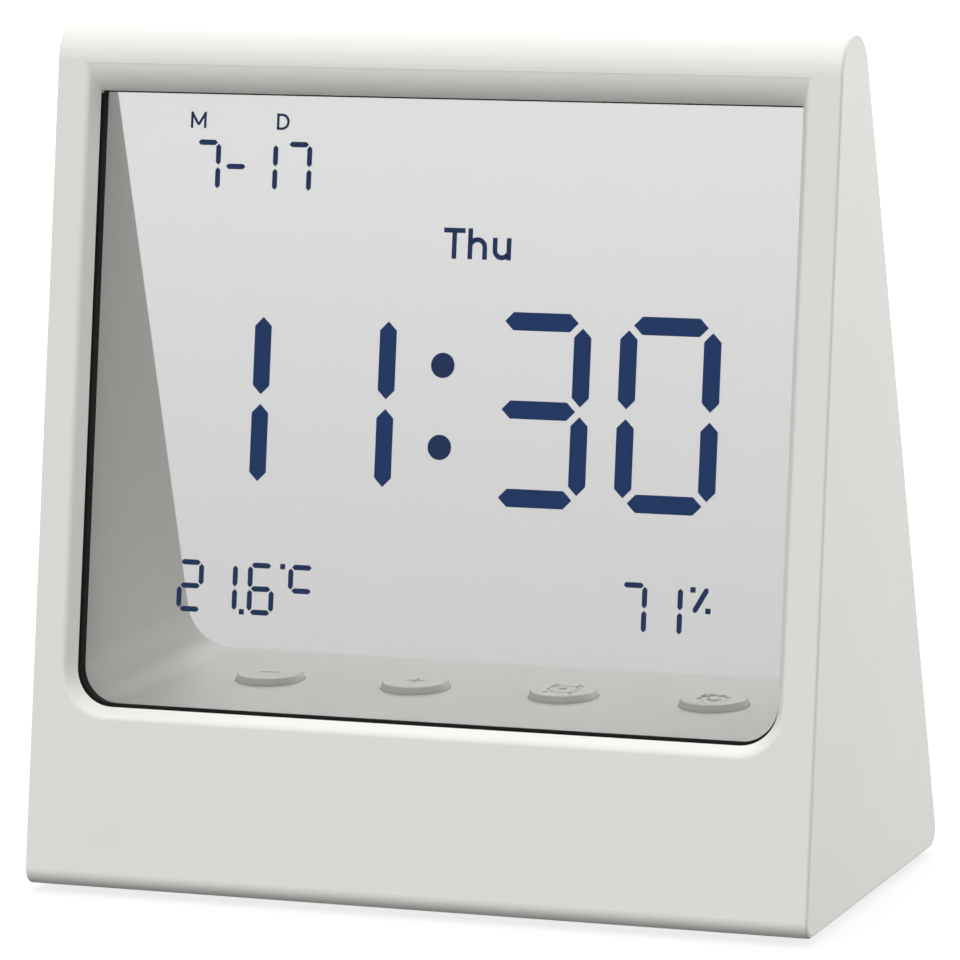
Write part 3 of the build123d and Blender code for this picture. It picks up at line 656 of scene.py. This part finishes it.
keys = [
    engraved_key("minus_key_cap", "key_minus", "minus_key", draw_minus),
    engraved_key("plus_key_cap", "key_plus", "plus_key", draw_plus),
    engraved_key("alarm_key_cap", "key_alarm", "alarm_key", draw_alarm),
    engraved_key("settings_key_cap", "key_settings", "settings_key", draw_wheel),
]
for piece in keys:
    check = bmesh.new()
    check.from_mesh(piece.data)
    print(piece.name, "faces:", len(check.faces), "open edges:", sum(not e.is_manifold for e in check.edges))
    check.free()

# %% [markdown]
# Under the deck lies the clock itself, which shows when the case is opened. Circuit boards are glass fibre with
# copper tracks under a green solder mask. The tracks make the green a little lighter and stand up by the thickness
# of the copper, so the same bands drive the colour and the bump. A patchy noise breaks them into runs.

# %% Board
def band_scale(pitch):
    """Scale of a wave texture whose bands repeat every pitch millimetres."""
    return 2 * math.pi / (20 * pitch * mm)


board_green, tree = new_material("glass fibre with green solder mask")
place = node(tree, "ShaderNodeTexCoord", {})
tracks = node(tree, "ShaderNodeTexWave", {"Vector": place.outputs["Object"], "Scale": band_scale(1.27)},
              bands_direction="X")
patches = node(tree, "ShaderNodeTexNoise", {"Vector": place.outputs["Object"], "Scale": per_mm(7), "Detail": 1.0})
runs = node(tree, "ShaderNodeMath", {0: patches.outputs["Fac"], 1: 0.52}, operation="GREATER_THAN")
copper = node(tree, "ShaderNodeMath", {0: tracks.outputs["Fac"], 1: 0.6}, operation="GREATER_THAN")
drawn = node(tree, "ShaderNodeMath", {0: runs.outputs["Value"], 1: copper.outputs["Value"]}, operation="MULTIPLY")
tone = node(tree, "ShaderNodeMix", {0: drawn.outputs["Value"], 6: linear("#0f4427"), 7: linear("#1c6a3e")},
            data_type="RGBA")
relief = node(tree, "ShaderNodeBump", {"Height": drawn.outputs["Value"], "Strength": 0.6, "Distance": 0.035 * mm})
shader = node(tree, "ShaderNodeBsdfPrincipled", {"Base Color": tone.outputs[2], "Roughness": 0.34, "IOR": 1.5,
                                                 "Normal": relief.outputs["Normal"]})
node(tree, "ShaderNodeOutputMaterial", {"Surface": shader.outputs["BSDF"]})
dress(board_green, "main_board", "climate_sensor")
print("boards dressed")

# %% [markdown]
# Flat cables are polyimide film, an amber plastic that shows the copper tracks inside it as darker stripes along
# the cable. The stripes repeat every millimetre, which is the usual pitch.

# %% Flat cables
amber, tree = new_material("polyimide film with copper tracks")
place = node(tree, "ShaderNodeTexCoord", {})
tracks = node(tree, "ShaderNodeTexWave", {"Vector": place.outputs["Object"], "Scale": band_scale(1.0)},
              bands_direction="X")
edge = node(tree, "ShaderNodeMapRange", {"Value": tracks.outputs["Fac"], "From Min": 0.4, "From Max": 0.6})
tone = node(tree, "ShaderNodeMix", {0: edge.outputs["Result"], 6: linear("#c98b35"), 7: linear("#8f5522")},
            data_type="RGBA")
relief = node(tree, "ShaderNodeBump", {"Height": edge.outputs["Result"], "Strength": 0.5, "Distance": 0.03 * mm})
shader = node(tree, "ShaderNodeBsdfPrincipled", {"Base Color": tone.outputs[2], "Roughness": 0.3, "IOR": 1.7,
                                                 "Normal": relief.outputs["Normal"]})
node(tree, "ShaderNodeOutputMaterial", {"Surface": shader.outputs["BSDF"]})
dress(amber, "display_ribbon", "sensor_ribbon")
print("flat cables dressed")

# %% [markdown]
# Switches and the sounder are black nylon with glass fibre, which moulds with a dull, slightly streaky skin. The
# drop over the chip is black epoxy that flowed and set, so it is glossy and gently wavy.

# %% Black nylon and epoxy
nylon, tree = new_material("nylon with glass fibre moulded")
place = node(tree, "ShaderNodeTexCoord", {})
fibre = node(tree, "ShaderNodeMapping", {"Vector": place.outputs["Object"], "Scale": (1, 6, 6)})
streaks = node(tree, "ShaderNodeTexNoise", {"Vector": fibre.outputs["Vector"], "Scale": per_mm(1.2), "Detail": 3.0})
tone = node(tree, "ShaderNodeMix", {0: streaks.outputs["Fac"], 6: linear("#121214"), 7: linear("#232326")},
            data_type="RGBA")
relief = node(tree, "ShaderNodeBump", {"Height": streaks.outputs["Fac"], "Strength": 0.3, "Distance": 0.02 * mm})
shader = node(tree, "ShaderNodeBsdfPrincipled", {"Base Color": tone.outputs[2], "Roughness": 0.55, "IOR": 1.53,
                                                 "Normal": relief.outputs["Normal"]})
node(tree, "ShaderNodeOutputMaterial", {"Surface": shader.outputs["BSDF"]})
dress(nylon, "push_switches", "buzzer")

epoxy, tree = new_material("epoxy drop")
place = node(tree, "ShaderNodeTexCoord", {})
flow = node(tree, "ShaderNodeTexNoise", {"Vector": place.outputs["Object"], "Scale": per_mm(3), "Detail": 1.0})
tone = node(tree, "ShaderNodeMix", {0: flow.outputs["Fac"], 6: linear("#0a0a0b"), 7: linear("#151517")},
            data_type="RGBA")
relief = node(tree, "ShaderNodeBump", {"Height": flow.outputs["Fac"], "Strength": 0.4, "Distance": 0.1 * mm})
shader = node(tree, "ShaderNodeBsdfPrincipled", {"Base Color": tone.outputs[2], "Roughness": 0.14, "IOR": 1.55,
                                                 "Normal": relief.outputs["Normal"]})
node(tree, "ShaderNodeOutputMaterial", {"Surface": shader.outputs["BSDF"]})
dress(epoxy, "chip_cover")
print("switches, sounder and chip dressed")

# %% [markdown]
# Contacts, springs, screws and the crystal can are steel with a nickel plate: a warm grey metal with fine drawing
# lines that soften its reflections.

# %% Nickel plate
nickel, tree = new_material("steel nickel plated")
place = node(tree, "ShaderNodeTexCoord", {})
drawn = node(tree, "ShaderNodeMapping", {"Vector": place.outputs["Object"], "Scale": (0.15, 1, 1)})
lines = node(tree, "ShaderNodeTexNoise", {"Vector": drawn.outputs["Vector"], "Scale": per_mm(0.3), "Detail": 3.0})
tone = node(tree, "ShaderNodeMix", {0: lines.outputs["Fac"], 6: linear("#b9b5ad"), 7: linear("#d0ccc4")},
            data_type="RGBA")
sheen = node(tree, "ShaderNodeMapRange", {"Value": lines.outputs["Fac"], "To Min": 0.22, "To Max": 0.38})
shader = node(tree, "ShaderNodeBsdfPrincipled", {"Base Color": tone.outputs[2], "Metallic": 1.0,
                                                 "Roughness": sheen.outputs["Result"]})
node(tree, "ShaderNodeOutputMaterial", {"Surface": shader.outputs["BSDF"]})
dress(nickel, "contact_plates", "contact_springs", "case_screws", "frame_screws", "board_screws", "quartz_crystal")
print("metal dressed")

# %% [markdown]
# The cells are steel cans in a shrunk PVC sleeve. The sleeve is dark with a copper-coloured band at the nub end, and
# stops short of both ends, where the bare can shows. Which end is which follows from the way round the cell lies, so
# the pattern is measured along the cell.

# %% Cells
band_from = 0.72
can_middle, sleeve_half = 0.485, 0.473


def sleeved_can(name, node_name, nub_side):
    """Sleeve material for a cell whose nub points to nub_side along X."""
    low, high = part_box(node_name)
    length, middle = high.x - low.x, (high.x + low.x) / 2
    material, tree = new_material(name)
    place = node(tree, "ShaderNodeTexCoord", {})
    axes = node(tree, "ShaderNodeSeparateXYZ", {"Vector": place.outputs["Object"]})
    share = node(tree, "ShaderNodeMapRange", {"Value": axes.outputs["X"], "From Min": middle - nub_side * length / 2,
                                              "From Max": middle + nub_side * length / 2})
    band = node(tree, "ShaderNodeMath", {0: share.outputs["Result"], 1: band_from}, operation="GREATER_THAN")
    sleeve = node(tree, "ShaderNodeMix", {0: band.outputs["Value"], 6: linear("#23272d"), 7: linear("#a9733f")},
                  data_type="RGBA")
    off_middle = node(tree, "ShaderNodeMath", {0: share.outputs["Result"], 1: can_middle}, operation="SUBTRACT")
    from_middle = node(tree, "ShaderNodeMath", {0: off_middle.outputs["Value"]}, operation="ABSOLUTE")
    bare = node(tree, "ShaderNodeMath", {0: from_middle.outputs["Value"], 1: sleeve_half}, operation="GREATER_THAN")
    tone = node(tree, "ShaderNodeMix", {0: bare.outputs["Value"], 6: sleeve.outputs[2], 7: linear("#c6c2ba")},
                data_type="RGBA")
    wrap = node(tree, "ShaderNodeTexNoise", {"Vector": place.outputs["Object"], "Scale": per_mm(4), "Detail": 2.0})
    sheen = node(tree, "ShaderNodeMapRange", {"Value": wrap.outputs["Fac"], "To Min": 0.2, "To Max": 0.34})
    shader = node(tree, "ShaderNodeBsdfPrincipled", {"Base Color": tone.outputs[2], "Metallic": bare.outputs["Value"],
                                                     "Roughness": sheen.outputs["Result"], "IOR": 1.53})
    node(tree, "ShaderNodeOutputMaterial", {"Surface": shader.outputs["BSDF"]})
    dress(material, node_name)


sleeved_can("PVC sleeve on a can nub right", "cell_front", 1)
sleeved_can("PVC sleeve on a can nub left", "cell_rear", -1)
print("cells dressed")

# %% [markdown]
# The feet are soft rubber pads, dark grey and dull, with a fine dusty grain.

# %% Rubber feet
rubber, tree = new_material("silicone rubber moulded")
place = node(tree, "ShaderNodeTexCoord", {})
dust = node(tree, "ShaderNodeTexNoise", {"Vector": place.outputs["Object"], "Scale": per_mm(0.6), "Detail": 3.0})
tone = node(tree, "ShaderNodeMix", {0: dust.outputs["Fac"], 6: linear("#232323"), 7: linear("#333332")},
            data_type="RGBA")
relief = node(tree, "ShaderNodeBump", {"Height": dust.outputs["Fac"], "Strength": 0.3, "Distance": 0.03 * mm})
shader = node(tree, "ShaderNodeBsdfPrincipled", {"Base Color": tone.outputs[2], "Roughness": 0.8,
                                                 "Specular IOR Level": 0.3, "Normal": relief.outputs["Normal"]})
node(tree, "ShaderNodeOutputMaterial", {"Surface": shader.outputs["BSDF"]})
dress(rubber, "feet")
print("feet dressed")
